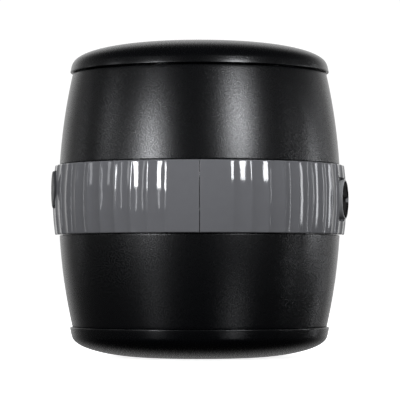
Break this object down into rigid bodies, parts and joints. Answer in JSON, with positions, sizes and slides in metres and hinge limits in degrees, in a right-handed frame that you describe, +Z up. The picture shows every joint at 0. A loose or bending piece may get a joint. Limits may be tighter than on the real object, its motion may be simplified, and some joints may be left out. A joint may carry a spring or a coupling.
{
  "type": "rock tumbler barrel",
  "caption": "Bulged cylindrical tumbling barrel with domed end caps, a fluted waist ring, a screw-in drain plug, a vent bung, and a screw-off lid over a rubber liner.",
  "frame": {"origin": "middle of the underside of the base cap", "axes": "+Z up along the barrel's axis towards the top cap; +X out of the drain port; the vent port looks out 20.5 degrees from -X towards -Y"},
  "size_m": [0.1164, 0.116, 0.1238],
  "materials": {
    "shell_black": "fine-grained satin black",
    "cap_black": "smoother satin black",
    "ring_grey": "glossy mid grey",
    "plug_black": "matte black",
    "collar_grey": "satin light grey",
    "bung_grey": "smooth dark grey rubber",
    "liner_rubber": "matte black rubber",
    "seal_rubber": "matte black rubber",
    "plate_aluminium": "turned",
    "washer_white": "natural nylon",
    "steel": "bright zinc"
  },
  "bodies": {
    "barrel": {"upper_shell": "shell_black", "lower_shell": "shell_black", "waist_seal": "seal_rubber", "rubber_liner": "liner_rubber", "ring_half_right": "ring_grey", "ring_half_left": "ring_grey", "ring_pins": "steel", "drain_bush": "collar_grey", "drain_gasket": "seal_rubber", "drain_nut": "collar_grey", "vent_bush": "collar_grey", "vent_gasket": "seal_rubber", "vent_nut": "collar_grey", "base_cap": "cap_black", "base_gasket": "seal_rubber", "base_washers": "steel", "base_screws": "steel"},
    "seal_plate": {"seal_plate": "plate_aluminium", "lid_gasket": "seal_rubber"},
    "top_cap": {"top_cap": "cap_black", "cap_washer": "washer_white", "cap_screw": "steel"},
    "drain_washer": {"drain_washer": "seal_rubber"},
    "drain_plug": {"drain_plug": "plug_black"},
    "vent_bung": {"vent_bung": "bung_grey"}
  },
  "joints": [
    {"name": "lid_lift", "type": "slide", "parent": "barrel", "child": "seal_plate", "axis": [0, 0, 1], "range_m": [0, 0.015]},
    {"name": "lid_turn", "type": "hinge", "parent": "seal_plate", "child": "top_cap", "pos_m": [0, 0, 0.105], "axis": [0, 0, 1], "range_deg": [0, 540]},
    {"name": "drain_out", "type": "slide", "parent": "barrel", "child": "drain_washer", "axis": [1, 0, 0], "range_m": [0, 0.015]},
    {"name": "drain_turn", "type": "hinge", "parent": "drain_washer", "child": "drain_plug", "pos_m": [0.055, 0, 0.0619], "axis": [1, 0, 0], "range_deg": [0, 900]},
    {"name": "vent_out", "type": "slide", "parent": "barrel", "child": "vent_bung", "axis": [-0.9367, -0.3502, 0], "range_m": [0, 0.016]}
  ],
  "couplings": [
    {"joint": "lid_turn", "follows": "lid_lift", "rad_per_m": 628.32},
    {"joint": "drain_turn", "follows": "drain_out", "rad_per_m": 1047.2}
  ]
}
